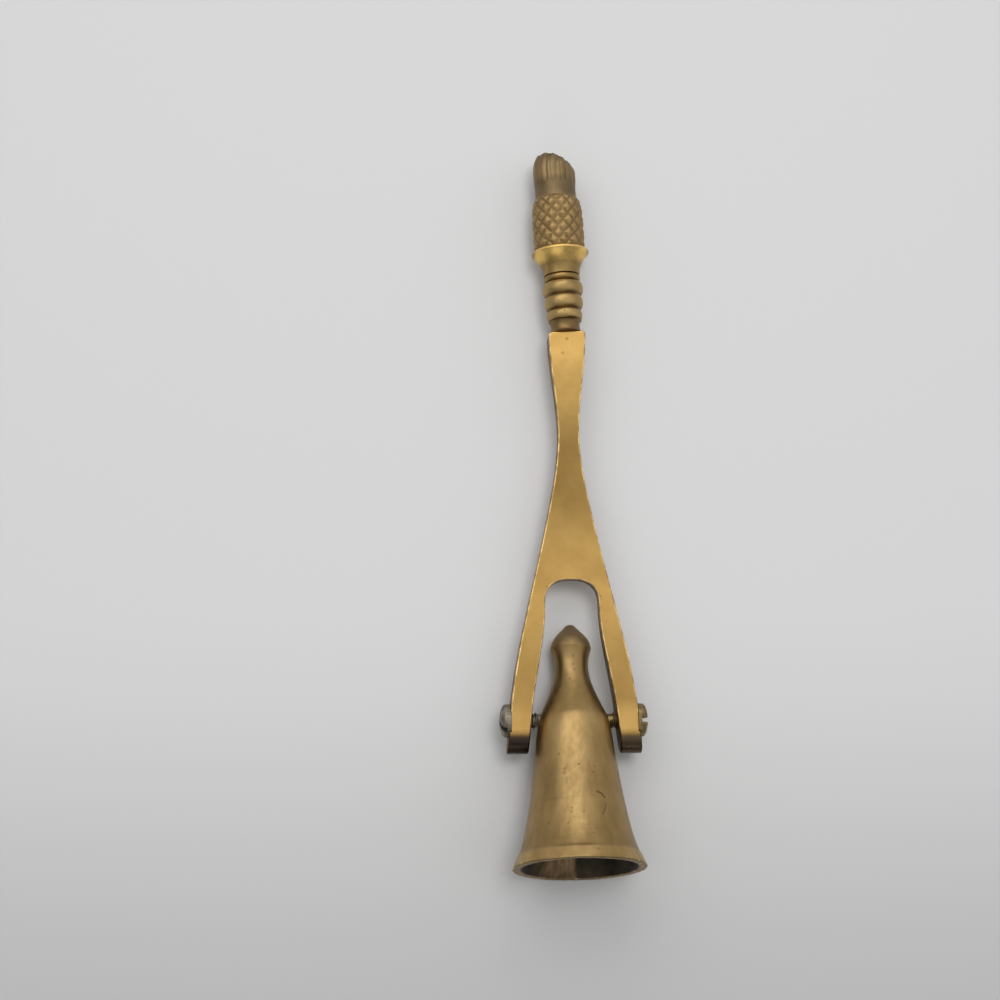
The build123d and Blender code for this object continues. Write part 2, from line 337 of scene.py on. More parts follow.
def polished_finish():
    """Worn polish: gold with brown patches, painted light and shade up its length, fine scratches, small
    dents.
    """
    f = Finish("polished_worn_brass", handle_bench)
    height = f.between(f.along("Y"), handle_low, handle_high, "LINEAR")
    span = handle_high - handle_low
    # Painted light and shade by height, for how the gently curved faces mirror the room.
    wear_and_painted_light = f.ramp(height, [((h - handle_low) / span, tone) for h, tone in painted_face_light])
    patches = f.ramp(f.noise(9, 5), [(0.35, (0.68, 0.41, 0.123)), (0.65, (0.795, 0.497, 0.157))])
    colour = f.mix(1.0, patches, wear_and_painted_light, "MULTIPLY")
    lines = f.noise(1.2, 4, (4, 0.12, 4))
    colour = f.mix(f.part(f.between(lines, 0.62, 0.8), 0.5), colour, scratch_tint)
    pits = f.math("MAXIMUM", f.pits(2.6, 0.32, 0.66), f.spots(dents, 0.8))
    colour = f.mix(f.part(pits, 0.45), colour, pit_tint)
    nose = f.mix(f.between(f.along("X"), *left_to_right), left_nose_tint, right_nose_tint)
    colour = f.mix(f.between(f.along("Y"), *nose_start), colour, nose)
    roughness = f.ramp(f.noise(2.5, 6), [(0.3, 0.24), (0.7, 0.38)])
    relief = f.math("SUBTRACT", f.part(lines, 0.3), f.part(pits, 0.35))
    return f.done(colour, roughness, relief, 0.10)


def edge_finish():
    """Rubbed edges, brighter and smoother than the faces."""
    f = Finish("rubbed_brass_edges", handle_bench)
    height = f.between(f.along("Y"), handle_low, handle_high, "LINEAR")
    colour = f.ramp(f.noise(4, 5), [(0.4, (0.42, 0.26, 0.085)), (0.62, (0.92, 0.64, 0.28))])
    dark_ends = f.ramp(height, [(0.0, 0.06), (0.045, 0.10), (0.07, 1.0), (0.9, 1.0)])
    colour = f.mix(1.0, colour, dark_ends, "MULTIPLY")
    roughness = f.ramp(f.noise(1.5), [(0.3, 0.22), (0.7, 0.34)])
    return f.done(colour, roughness, f.noise(0.8), 0.05)


def side_finish():
    """The narrow sides, which no cloth polishes: brown and dull."""
    f = Finish("browned_brass_sides", handle_bench)
    colour = f.ramp(f.noise(4, 5), [(0.35, (0.085, 0.052, 0.03)), (0.7, (0.19, 0.12, 0.06))])
    roughness = f.ramp(f.noise(1.5, 4), [(0.3, 0.38), (0.7, 0.55)])
    return f.done(colour, roughness, f.noise(0.9, 4), 0.06)


polished_brass = polished_finish()
rubbed_edges = edge_finish()
browned_sides = side_finish()
print("handle finishes:", [metal.name for metal in (polished_brass, rubbed_edges, browned_sides)])

# %% [markdown]
# ## Finish of the bell
# The bell keeps the satin of the lathe, with faint rings, but it has browned and pitted. Its
# knob and the face of its rim are duller, and smoke has darkened the hollow. Down its length the
# bell is painted lighter and darker, a painted light and shade, and the hollow has a painted
# patch of light.

# %% Satin brass
bell_low, bell_high = -44.0, 30.0
upper_scratch = [(4.4, -23.8, 12.95), (5.7, -24.3, 12.5), (6.4, -25.3, 12.3)]
lower_scratch = [(6.7, -27.4, 12.6), (6.3, -29.0, 13.2), (5.6, -30.2, 13.8)]
stains = [(-4.9, -18.0, 11.8), (-4.6, -16.8, 11.8), (4.2, -16.4, 12.0), (-3.2, -28.5, 14.1),
          (-3.3, -29.6, 14.4), (-4.5, -32.7, 14.8), (-9.6, -32.4, 12.1), (2.6, -35.8, 16.3),
          (0.2, -29.7, 14.8), (-6.0, -12.4, 10.5), (3.4, -40.6, 17.9), (0.1, 18.2, 5.3),
          (0.15, 15.7, 5.1), (0.3, 14.2, 5.06)]
# Shares of the way from the mouth to the knob's tip, and how bright the brass is painted there:
# painted light and shade that stands in for the highlight down the bell.
bell_painted_light = [(0.0, 0.50), (0.012, 0.56), (0.02, 0.95), (0.054, 0.95), (0.066, 0.70), (0.09, 0.70),
              (0.176, 0.77), (0.3, 0.72), (0.43, 0.82), (0.56, 0.93), (0.58, 0.93), (0.592, 0.86),
              (0.70, 0.83), (0.80, 0.72), (0.84, 0.72), (0.885, 0.76), (0.92, 0.64), (0.99, 0.54)]
# The same shares, and how rough it is.
bell_roughness = [(0.0, 0.5), (0.03, 0.42), (0.55, 0.42), (0.70, 0.44), (0.84, 0.40), (0.89, 0.68)]
ring_tint = (0.26, 0.17, 0.07, 1)
knob_tint = (0.27, 0.20, 0.115, 1)
nick_tint = (0.80, 0.64, 0.38, 1)
mark_tint = (0.11, 0.065, 0.02, 1)
# Where the knob's cap and the face of the rim begin, and where they are reached in full.
cap_start = (20.5, 24.5)
rim_start = (-42.0, -42.6)
# The strip of the hollow with a painted patch of light, from its left edge to its right edge.
lit_patch_left, lit_patch_right = (-12.5, -6.0), (2.6, 1.2)


def satin_finish():
    """Turned satin: brown gold, faintly ringed, pitted, dull on the face of the rim, with painted light
    and shade down its length.
    """
    f = Finish("satin_turned_brass", bell_bench)
    clouds = f.noise(6, 6, (1.6, 0.6, 1.6))
    patches = f.ramp(clouds, [(0.3, (0.38, 0.245, 0.095)), (0.7, (0.51, 0.345, 0.145))])
    rings = f.noise(1.0, 3, (0.05, 2.0, 0.05))
    colour = f.mix(f.part(f.between(rings, 0.6, 0.8), 0.35), patches, ring_tint)
    reach = f.along("Y")
    spread = f.between(reach, bell_low, bell_high, "LINEAR")
    # Painted light and shade down the bell's length.
    colour = f.mix(1.0, colour, f.ramp(spread, bell_painted_light), "MULTIPLY")
    colour = f.mix(f.part(f.between(reach, *cap_start), 0.6), colour, knob_tint)
    nicks = f.part(f.between(reach, *rim_start), f.between(f.noise(1.4, 4), 0.60, 0.68))
    colour = f.mix(f.part(nicks, 0.7), colour, nick_tint)
    lower_mark = f.part(f.scratch(lower_scratch, 0.40), 0.7)
    hook = f.math("MAXIMUM", f.scratch(upper_scratch, 0.45), lower_mark)
    marks = f.math("MAXIMUM", f.pits(2.0, 0.36, 0.55), hook)
    marks = f.math("MAXIMUM", marks, f.part(f.spots(stains, 0.62), 0.5))
    colour = f.mix(f.part(marks, 0.72), colour, mark_tint)
    smears = f.ramp(f.noise(1.6, 6, (1.5, 0.7, 1.5)), [(0.3, 0.16), (0.7, 0.62)])
    roughness = f.mix(0.3, f.ramp(spread, bell_roughness), smears)
    relief = f.math("SUBTRACT", f.part(f.noise(2.2, 4), 0.7), f.part(marks, 0.6))
    return f.done(colour, roughness, relief, 0.10)


def smoked_finish():
    """Smoke-browned brass inside the bell, with a painted patch of light on one side."""
    f = Finish("smoked_brass", bell_bench)
    smoke = f.ramp(f.noise(4, 6), [(0.35, (0.028, 0.023, 0.017)), (0.7, (0.065, 0.05, 0.033))])
    streaks = f.noise(2.5, 6, (1.6, 0.25, 1.6))
    # Lighter tints for the painted patch of light in the hollow.
    bare = f.ramp(streaks, [(0.3, (0.10, 0.066, 0.037)), (0.7, (0.235, 0.155, 0.087))])
    side = f.math("ADD", f.along("X"), f.part(f.noise(3, 4, (1, 0.2, 1)), 3.0))
    lit_patch = f.part(f.between(side, *lit_patch_left), f.between(side, *lit_patch_right))
    colour = f.mix(lit_patch, smoke, bare)
    roughness = f.ramp(f.noise(2, 4), [(0.3, 0.36), (0.7, 0.55)])
    return f.done(colour, roughness, f.noise(1.0, 5), 0.08)


satin_brass = satin_finish()
smoked_brass = smoked_finish()
print("bell finishes:", [metal.name for metal in (satin_brass, smoked_brass)])

# %% [markdown]
# ## Finish of the pineapple and the screws
# The pineapple has toned to a dull brown that is darkest in its grooves, because no cloth
# reaches there. Its collar and beads are handled, so they stay golden. The collar's lip is
# painted brighter still, a painted highlight, its tips carry a painted dark reflection, and the
# fruit just above it is painted with shade. The screws are plated steel, grey with a little rust
# brown.

# %% Dull brass and steel
pineapple_low, pineapple_high = 116.0, 178.0
# Heights on the pineapple and the tint there; the collar's lip is painted bright over a darker
# foot, a painted highlight.
tone_and_painted_light = [(118, (0.25, 0.155, 0.065)), (121.6, (0.24, 0.155, 0.065)), (122.6, (0.45, 0.31, 0.125)),
          (133.8, (0.40, 0.27, 0.105)), (134.6, (0.34, 0.225, 0.085)), (136.4, (0.33, 0.215, 0.08)),
          (139.6, (0.33, 0.215, 0.08)), (141.4, (0.88, 0.58, 0.18)), (144.2, (0.95, 0.64, 0.205)),
          (144.6, (0.35, 0.225, 0.092)), (148, (0.40, 0.265, 0.112)), (160.2, (0.38, 0.255, 0.11)),
          (162, (0.21, 0.15, 0.078)), (166.2, (0.21, 0.15, 0.078)), (168, (0.29, 0.205, 0.10)),
          (176, (0.26, 0.185, 0.098))]
# The collar is painted dark at its left and right tips, a painted dark reflection: how far out, and
# below which height.
tip_out, tip_below = (7.3, 8.8), (144.6, 144.1)
rusty_side = (2.0, 9.0)
grime_and_shade_tint = (0.10, 0.06, 0.028, 1)
tip_reflection_tint = (0.10, 0.08, 0.035, 1)
dull_pit_tint = (0.10, 0.065, 0.03, 1)
rust_tint = (0.06, 0.045, 0.03, 1)


def dull_finish():
    """Toned brass, brown on the fruit and leaves, golden on collar and beads, with painted light and
    shade round the collar.
    """
    f = Finish("dull_toned_brass", pineapple_bench)
    height = f.between(f.along("Y"), pineapple_low, pineapple_high, "LINEAR")
    span = pineapple_high - pineapple_low
    # Tint by height, including the painted highlight on the collar's lip.
    colour = f.ramp(height, [((h - pineapple_low) / span, tint) for h, tint in tone_and_painted_light])
    colour = f.mix(1.0, colour, f.ramp(f.noise(4, 6), [(0.3, 0.82), (0.7, 1.1)]), "MULTIPLY")
    recess = f.add("ShaderNodeAttribute", {}, "Fac", attribute_name="recess")
    # Grime in the grooves, and painted shade above the collar and along the leaf edges.
    colour = f.mix(f.part(f.between(recess, 0.35, 1.0), 0.5), colour, grime_and_shade_tint)
    # Painted dark reflection at the collar's tips.
    sideways = f.between(f.math("ABSOLUTE", f.along("X")), *tip_out)
    painted_tip_reflection = f.part(sideways, f.between(f.along("Y"), *tip_below))
    colour = f.mix(f.part(painted_tip_reflection, 0.7), colour, tip_reflection_tint)
    pits = f.pits(1.6, 0.3, 0.55)
    colour = f.mix(f.part(pits, 0.5), colour, dull_pit_tint)
    smooth = f.ramp(height, [(0.0, 0.42), (0.42, 0.36), (0.47, 0.48), (0.99, 0.54)])
    roughness = f.mix(0.3, smooth, f.ramp(f.noise(1.0, 5), [(0.3, 0.25), (0.7, 0.6)]))
    relief = f.math("SUBTRACT", f.part(f.noise(0.9, 6), 0.6), pits)
    return f.done(colour, roughness, relief, 0.12)


def steel_finish():
    """Dull plating with brown rust in patches, most of it on the right screw."""
    f = Finish("dull_plated_steel", handle_bench)
    grey = f.ramp(f.noise(2.2, 6), [(0.35, (0.15, 0.13, 0.10)), (0.65, (0.30, 0.275, 0.22))])
    brown = f.ramp(f.noise(2.2, 6), [(0.35, (0.16, 0.115, 0.05)), (0.65, (0.36, 0.27, 0.125))])
    colour = f.mix(f.between(f.along("X"), *rusty_side), grey, brown)
    colour = f.mix(f.pits(1.2, 0.25, 0.5), colour, rust_tint)
    roughness = f.ramp(f.noise(1.4, 5), [(0.3, 0.36), (0.7, 0.58)])
    return f.done(colour, roughness, f.noise(0.8, 5), 0.10)


dull_brass = dull_finish()
screw_steel = steel_finish()
print("top and screw finishes:", [metal.name for metal in (dull_brass, screw_steel)])

# %% [markdown]
# ## The bell
# A bell like this is cast hollow and then turned: a capped knob, a neck, a crease at the
# shoulder, and a skirt that flares to the mouth. One outline goes down the outside, round the
# rim and back up the hollow, and the lathe does the rest. A narrow raised band is left standing
# round the mouth, to stiffen it. No lathe hand is perfectly steady, so the skin is moved in and
# out by a few hundredths of a millimetre.

# %% Bell outline
# Knots are (reach toward the mouth, radius, slope).
cap_knots = [(-28.6, 1.65, 0.8), (-26.2, 3.75, 0.9), (-25.1, 4.7, 0.72), (-23.8, 5.45, 0.42),
             (-21.6, 6.0, 0.1)]
neck_knots = [(-21.6, 6.0, -0.4), (-14.5, 5.05, 0.11), (-0.4, 10.2, 0.42)]
skirt_knots = [(-0.4, 10.2, 0.22), (9, 11.6, 0.12), (26.5, 14.1, 0.18), (43.2, 19.3, 0.55)]
rim_band_top = 39.7
rim_band_slope = 0.42
rim_band_step = 0.6
rim_step_slope = 0.5
hollow_knots = [(0, 7.9, 0.3), (9, 9.2, 0.09), (26.5, 11.7, 0.18), (43.2, 16.9, 0.55)]
tip_reach = -29.3
tip_corner = 1.25
hollow_top = -6.0
hollow_corner = 7.0
rim_round = 0.45
rim_inset = 0.25
pin_radius = 1.9
pin_clearance = 0.05


def bell_outline():
    """Radius and height of every point of the bell's section, outside first."""
    mouth, outer, _ = skirt_knots[-1]
    inner = hollow_knots[-1][1]
    cap_foot, cap_radius, _ = cap_knots[0]
    tip = (0, tip_reach)
    outline = [tip] + rounded(tip, (tip_corner, tip_reach), (cap_radius, cap_foot), 8)
    outline += swept(cap_knots, 28)[1:]
    outline += swept(neck_knots, 40)[1:]
    band_foot = rim_band_top - rim_band_step
    outline += [point for point in swept(skirt_knots, 64)[1:-1] if point[1] < band_foot - 0.1]
    band_start = (rim_band_top, outer - rim_band_slope * (mouth - rim_band_top), rim_band_slope)
    step_start = (band_foot, width_at(skirt_knots, band_foot), rim_step_slope)
    outside = (outer - rim_band_slope * rim_round, mouth - rim_round)
    outline += swept([step_start, band_start], 5)
    outline += swept([band_start, (outside[1], outside[0], rim_band_slope)], 8)[1:]
    outline += rounded(outside, (outer, mouth), (outer - rim_round, mouth), 5)
    inside = (inner + rim_round, mouth)
    outline += [inside] + rounded(inside, (inner, mouth), (inner - rim_inset, mouth - rim_round), 5)
    outline += swept(hollow_knots, 48)[-2::-1]
    outline += rounded(outline[-1], (hollow_corner, hollow_top), (0, hollow_top), 12)
    return [(radius, -reach) for radius, reach in outline]


print("bell outline:", len(bell_outline()), "points")

# %% Turn the bell
lathe_steps = 192
# Waves are (depth, size), both in millimetres.
skin_waves = [(0.05, 7), (0.02, 2.5)]
rim_waves = [(0.1, 1.3)]
worn_rim = 0.6
bore_reach = 20
# How squarely a face looks along the bell, on the flat of the rim and at the top of the hollow.
rim_square, dome_square = 0.98, 0.3


def turned_bell():
    """The bell off the lathe, bored for the pins, its hollow marked as the second finish."""
    bm = lathe(bell_outline(), lathe_steps)
    for v in bm.verts:
        at_rim = v.co.y < worn_rim - skirt_knots[-1][0]
        v.co += v.normal * unevenness(v.co, skin_waves + (rim_waves if at_rim else []))
    bore = bmesh.new()
    rod(bore, pin_radius + pin_clearance, -bore_reach, bore_reach, 48)
    bm = cut_away(bm, bore)
    for face in bm.faces:
        middle = face.calc_center_median()
        outward = Vector((middle.x, 0, middle.z)).dot(face.normal)
        hollow = middle.y < -hollow_top and outward < 0 and abs(face.normal.y) < rim_square
        dome = -0.1 < middle.y < 0.2 - hollow_top and face.normal.y < -dome_square
        if math.hypot(middle.x, middle.z) < hollow_knots[-1][1] and (hollow or dome):
            face.material_index = 1
    return bm


to_table("hanging_bell", turned_bell(), bell_bench, "bell", "bell",
         [satin_brass, smoked_brass], 20)

# %% [markdown]
# ## The forked handle
# The handle is one casting, filed flat. A sheet of squares is the easiest start: one side of it
# follows the inside of the fork and then the middle line, the other side follows the outer
# edge. Pulling the sheet to a thickness, and mirroring it, gives the whole handle. Then the
# edges are rubbed round, and each prong is bored and given a flat seat for the screw's head.

# %% Handle lines
# Knots are (height above the hinge, half width, slope), then the same for half the thickness.
outer_knots = [(0, 19.0, -0.0875), (40, 11.5, -0.238), (65, 5.85, -0.202), (86, 3.2, -0.005),
               (116.7, shoulder_half_width, 0)]
gap_knots = [(0, 12.7, -0.0875), (20, 9.5, -0.175), (34, 8.0, 0)]
half_thickness_knots = [(0, 4.0, 0), (28, 2.4, -0.058), (63, 2.0, 0.013), (86, 2.3, 0.012),
                        (118, 3.6, 0.1)]
crotch_height = 41.6
arch_fullness = 1.25
shoulder_corner = 1.25
arm_end = -9.6
arm_foot = -2.2
nose_length = 5.2
nose_half = 4.0
head_seat = 18.54
arm_splay = math.tan(math.radians(5))
# Steps across the sheet, then up the gap, round the arch and up the blade.
across_steps = 4
gap_steps, arch_steps, blade_steps = 34, 24, 50
# The stretch of the outer edge that lies beside the arch.
beside_arch = (37, 52)


def nose_places():
    """Heights down the rounded end of an arm, closer together near the tip."""
    return [arm_end + nose_length * (1 - math.cos(t)) for t in even(0, math.pi / 2, 12)]


def half_thickness(height):
    """Half the thickness of the handle at a height above the hinge."""
    foot = arm_end + nose_length
    if height < foot:
        return nose_half * math.sqrt(max(0, 1 - ((height - foot) / nose_length) ** 2))
    return width_at(half_thickness_knots, height) if height > 0 else nose_half


def inner_line():
    """Inside of the right prong, over the arch, then up the middle."""
    line = [(gap_knots[0][1] - arm_splay * h, h) for h in nose_places() + [arm_foot]]
    line += swept(gap_knots, gap_steps)
    foot, side, _ = gap_knots[-1]
    for t in even(0, math.pi / 2, arch_steps)[1:]:
        x = side * max(0, math.cos(t)) ** (1 / arch_fullness)
        line.append((x, foot + (crotch_height - foot) * math.sin(t) ** (1 / arch_fullness)))
    return line + [(0, h) for h in even(crotch_height, shoulder_height, blade_steps)[1:]]


def outer_line():
    """Outer edge of the right half, from the end of the prong to the top."""
    heights = even(0, beside_arch[0], gap_steps) + even(*beside_arch, arch_steps)[1:]
    heights += even(beside_arch[1], shoulder_height, blade_steps)[1:]
    line = [(outer_knots[0][1] - arm_splay * h, h) for h in nose_places() + [arm_foot]]
    return line + [(width_at(outer_knots, min(h, outer_knots[-1][0])), h) for h in heights]


print("points on the inner and the outer line:", len(inner_line()), len(outer_line()))

# %% Shape the sheet into the handle
edge_round = 0.42
sharp_angle = math.radians(50)
sloped_length = 8
face_waves = [(0.07, 16), (0.025, 5)]


def laid_sheet():
    """A sheet of squares stretched between the two lines."""
    inner, outer = inner_line(), outer_line()
    last = len(inner) - 1
    bm = bmesh.new()
    bmesh.ops.create_grid(bm, x_segments=across_steps, y_segments=last, size=1)
    for v in bm.verts:
        step = round((v.co.y + 1) / 2 * last)
        v.co.xy = Vector(inner[step]).lerp(Vector(outer[step]), (v.co.x + 1) / 2)
    return bm


def thick_sheet():
    """The sheet pulled to its thickness and mirrored."""
    bm = laid_sheet()
    pulled = bmesh.ops.extrude_face_region(bm, geom=bm.faces[:])
    front = {v for v in pulled["geom"] if isinstance(v, bmesh.types.BMVert)}
    middle = [f for f in bm.faces if all(abs(v.co.x) < 1e-6 for v in f.verts)]
    bmesh.ops.delete(bm, geom=middle, context="FACES_ONLY")
    for v in bm.verts:
        v.co.z = half_thickness(v.co.y) * (1 if v in front else -1)
    bmesh.ops.mirror(bm, geom=bm.verts[:] + bm.edges[:] + bm.faces[:], axis="X", merge_dist=0.001)
    bmesh.ops.remove_doubles(bm, verts=bm.verts, dist=0.001)
    bmesh.ops.dissolve_degenerate(bm, edges=bm.edges, dist=0.0005)
    bmesh.ops.recalc_face_normals(bm, faces=bm.faces)
    return bm


def rub(bm, edges, size, steps):
    """Round these edges off, as a file and then a cloth would."""
    bmesh.ops.bevel(bm, geom=edges, offset=size, offset_type="OFFSET", segments=steps, profile=0.5,
                    affect="EDGES", material=-1, clamp_overlap=False)


def round_edges(bm):
    """Round the two corners at the top, then rub every sharp edge."""
    foot = arm_end + nose_length
    sides = [f for f in bm.faces if abs(f.normal.x) > 0.9 and f.calc_center_median().y < foot]
    bmesh.ops.dissolve_faces(bm, faces=sides)
    limit = Vector((shoulder_half_width - 0.05, shoulder_height - 0.01))
    corners = [e for e in bm.edges if all(abs(v.co.x) > limit.x and v.co.y > limit.y for v in e.verts)]
    rub(bm, corners, shoulder_corner, 6)
    sharp = [e for e in bm.edges if e.is_manifold and e.calc_face_angle() > sharp_angle]
    rub(bm, sharp, edge_round, 3)
    print("corners rounded:", len(corners), "edges rubbed:", len(sharp))


def settle(bm):
    """Slope the end for the leaning pineapple, and let the filed faces be a little uneven."""
    for v in bm.verts:
        near_top = max(0, (v.co.y - shoulder_height + sloped_length) / sloped_length)
        v.co.y -= near_top * (shoulder_half_width - v.co.x) * math.tan(pineapple_lean)
        v.co.z += unevenness(v.co, face_waves) * math.copysign(1, v.co.z)


# %% Bore, seat and finish the handle
seat_radius = 5.3
seat_reach = 25
hole_radius = 2.45
hole_reach = (8, 26)
# How far a face looks sideways or up decides its finish.
nose_sideways, flat_up, side_up = 0.15, 0.97, 0.25


def drill(bm, radius, inner, outer):
    """Cut a round hole or seat into both prongs, between two distances from the middle."""
    tool = bmesh.new()
    for side in (1, -1):
        rod(tool, radius, side * inner, side * outer, 64)
    return cut_away(bm, tool)


def choose_finish(bm):
    """Faces are polished, rubbed edges are the second finish, narrow sides the third."""
    bm.normal_update()
    for face in bm.faces:
        middle = face.calc_center_median()
        nose = middle.y < arm_end + nose_length and abs(face.normal.x) < nose_sideways
        if not nose and abs(face.normal.z) < flat_up:
            face.material_index = 2 if abs(face.normal.z) < side_up else 1


def forked_handle():
    """The whole handle: shaped, rounded, bored and seated for the screws."""
    bm = thick_sheet()
    round_edges(bm)
    settle(bm)
    bm = drill(bm, seat_radius, head_seat, seat_reach)
    bm = drill(bm, hole_radius, *hole_reach)
    choose_finish(bm)
    return bm


handle = to_table("fork_handle", forked_handle(), handle_bench, "handle", "forked_handle",
                  [polished_brass, rubbed_edges, browned_sides], 40)
flatten = handle.modifiers.new("even_shading_on_flats", "WEIGHTED_NORMAL")
flatten.keep_sharp = True

# %% [markdown]
# ## The pineapple
# The top is turned first: a hollow neck, three beads, a ring and a flared collar, then the
# fruit and a plain neck under the leaves. A chaser then cuts crossing grooves round the fruit,
# which leaves diamonds standing.

# %% Pineapple outline
# Beads are (bottom, top, radius); neck and ring are (bottom, top, radius at the ends, in the middle).
beads = [(122.0, 125.2, 5.45), (125.7, 129.6, 5.95), (130.1, 134.0, 6.25)]
hollow_neck = (shoulder_height + 0.15, 121.8, 5.1, 4.4)
small_ring = (134.4, 136.4, 4.9, 5.6)
top_seat_radius = 4.9
groove_depth = 0.85
collar_bottom, collar_top = 143.3, 144.1
collar_bulge = 0.35
collar_step = 0.2
collar_knots = [(136.5, 5.5, 0.06), (140.4, 6.5, 0.5), (collar_bottom, 8.7, 0.9)]
fruit_knots = [(collar_top, 7.1, 0.12), (151.5, 7.4, 0), (160.9, 6.7, -0.2)]
crown_bottom = 166.0
crown_neck_knots = [(161.1, 6.55, -0.3), (163.4, 6.25, 0), (crown_bottom, 6.3, 0)]


def pineapple_outline():
    """Radius and height of the turned top, from its seat to the foot of the leaves."""
    lip = collar_knots[-1][1]
    outline = [(0, shoulder_height), (top_seat_radius, shoulder_height)]
    outline += bulge(*hollow_neck, 14)
    for bottom, top, radius in beads:
        outline += bulge(bottom, top, radius - groove_depth, radius, 18)
    outline += bulge(*small_ring, 10)
    outline += swept(collar_knots, 20)
    corner = (lip + collar_bulge, (collar_bottom + collar_top) / 2)
    outline += rounded((lip, collar_bottom), corner, (lip - collar_step, collar_top), 6)
    outline += swept(fruit_knots, 72)
    outline += swept(crown_neck_knots, 12)
    return outline + [(0, crown_bottom)]


print("pineapple outline:", len(pineapple_outline()), "points")

# %% Cut the diamonds
columns = 13
rows = 8
diamond_rise = 0.6
diamond_fade = 0.8
diamond_waves = [(0.12, 4)]
# How far up the fruit the painted shade above the collar reaches, in millimetres.
collar_shade_height = 3.0
neck_grime = 0.55
bead_margin = 0.3
steps_round = columns * 14


def mark_recess(bm):
    """Note how deep each point lies in a groove, and where shade is painted, for the finish to darken.
    """
    return bm.verts.layers.float.get("recess") or bm.verts.layers.float.new("recess")


def groove_depths(bm):
    """Mark the grooves between the beads, and the hollow neck below them."""
    recess = mark_recess(bm)
    for v in bm.verts:
        for bottom, top, radius in beads:
            if bottom - bead_margin <= v.co.y <= top + bead_margin:
                v[recess] = min(1, (radius - math.hypot(v.co.x, v.co.z)) / groove_depth)
        if v.co.y < hollow_neck[1]:
            v[recess] = neck_grime


def cut_diamonds(bm):
    """Raise the fruit's skin into diamonds between two crossing sets of grooves."""
    recess = mark_recess(bm)
    bottom, top = fruit_knots[0][0], fruit_knots[-1][0]
    row_height = (top - bottom) / rows
    for v in bm.verts:
        if bottom + 0.02 < v.co.y < top - 0.02:
            radius = math.hypot(v.co.x, v.co.z)
            turn = columns * math.atan2(v.co.z, v.co.x) / (2 * math.pi)
            turn += unevenness(v.co, diamond_waves)
            climb = (v.co.y - bottom) / row_height / 2
            left = abs((turn + climb) % 1 - 0.5) * 2
            right = abs((turn - climb) % 1 - 0.5) * 2
            edge = min(1, (v.co.y - bottom) / diamond_fade, (top - v.co.y) / diamond_fade)
            stand = (1 - max(left, right) ** 2) * edge
            # Painted shade on the fruit just above the collar.
            painted_collar_shade = 1 - (v.co.y - bottom) / collar_shade_height
            v[recess] = max(1 - stand, painted_collar_shade)
            push = 1 + diamond_rise * stand / radius
            v.co.x *= push
            v.co.z *= push
    print("diamonds:", columns * rows)


# %% [markdown]
# The leaves stand upright and close together, bend in over the top, and are longer on one side
# than on the other. Each leaf is a small sheet, ribbed down the middle, narrowed to a tip and
# given a thickness.

# %% Leaves
leaf_length = 9.2
leaf_slant = 1.7
leaf_root = 1.0
leaf_thickness = 0.8
leaf_rib, leaf_fold = 0.8, 0.15
leaf_sink, leaf_belly = 0.55, 0.25
bend_start, bend_depth, bend_curve = 0.55, 0.2, 2.6
# Shares of the leaf's width at its foot and what it gains, and the share of its length that takes.
foot_width, width_gain, widest_at = 0.94, 0.06, 0.4
tip_taper, tip_blunt = 5, 0.05
shade_start, shade_rate = 0.3, 1.2
# Rings of leaves: how many, radius of the ring, width of a leaf, share of the full length.
leaf_rings = [(12, 5.85, 3.7, 0.86), (8, 4.2, 3.9, 0.98), (5, 2.2, 3.6, 1.04)]
first_turn, ring_turn = 0.3, 0.35
bud_place = (-0.9, crown_bottom + 1.6, 0)
bud_size = (4.9, 8.2, 4.9, 1)


def leaf(bm, turn, ring, width, length):
    """One upright leaf that stands on a ring, faces outward and bends in at its tip."""
    recess = mark_recess(bm)
    verts = bmesh.ops.create_grid(bm, x_segments=10, y_segments=18, size=1)["verts"]
    for v in verts:
        across, up = v.co.x, (v.co.y + 1) / 2
        over = max(0, up - bend_start) / (1 - bend_start)
        narrow = math.sqrt(max(tip_blunt, 1 - over ** tip_taper))
        half = width / 2 * (foot_width + width_gain * min(1, up / widest_at)) * narrow
        rib = leaf_rib * (1 - across * across) + leaf_fold * (1 - abs(across))
        out = ring + rib - leaf_sink + leaf_belly * math.sin(math.pi * up)
        out -= bend_depth * ring * over ** bend_curve
        v[recess] = max(0, abs(across) - shade_start) * shade_rate
        v.co = (out, up * (length + leaf_root), across * half)
    faces = list({f for v in verts for f in v.link_faces})
    shell = bmesh.ops.solidify(bm, geom=faces, thickness=leaf_thickness)
    verts += [v for v in shell["geom"] if isinstance(v, bmesh.types.BMVert)]
    place = Matrix.Rotation(turn, 4, "Y") @ Matrix.Translation((0, crown_bottom - leaf_root, 0))
    bmesh.ops.transform(bm, matrix=place, verts=list(set(verts)))


def crown(bm):
    """Rings of leaves round a bud, taller on the left."""
    for number, (count, ring, width, share) in enumerate(leaf_rings):
        for i in range(count):
            turn = 2 * math.pi * (i + first_turn + ring_turn * number) / count
            slant = -leaf_slant * math.cos(turn) * ring / leaf_rings[0][1]
            leaf(bm, turn, ring, width, leaf_length * share + slant)
    bud = Matrix.Translation(bud_place) @ Matrix.Diagonal(bud_size)
    bmesh.ops.create_uvsphere(bm, u_segments=32, v_segments=16, radius=1, matrix=bud)
    print("leaves:", sum(ring[0] for ring in leaf_rings))


pineapple_mesh = lathe(pineapple_outline(), steps_round)
groove_depths(pineapple_mesh)
cut_diamonds(pineapple_mesh)
crown(pineapple_mesh)
bmesh.ops.recalc_face_normals(pineapple_mesh, faces=pineapple_mesh.faces)
to_table("pineapple_top", pineapple_mesh, pineapple_bench, "handle", "pineapple_finial",
         [dull_brass], 50)

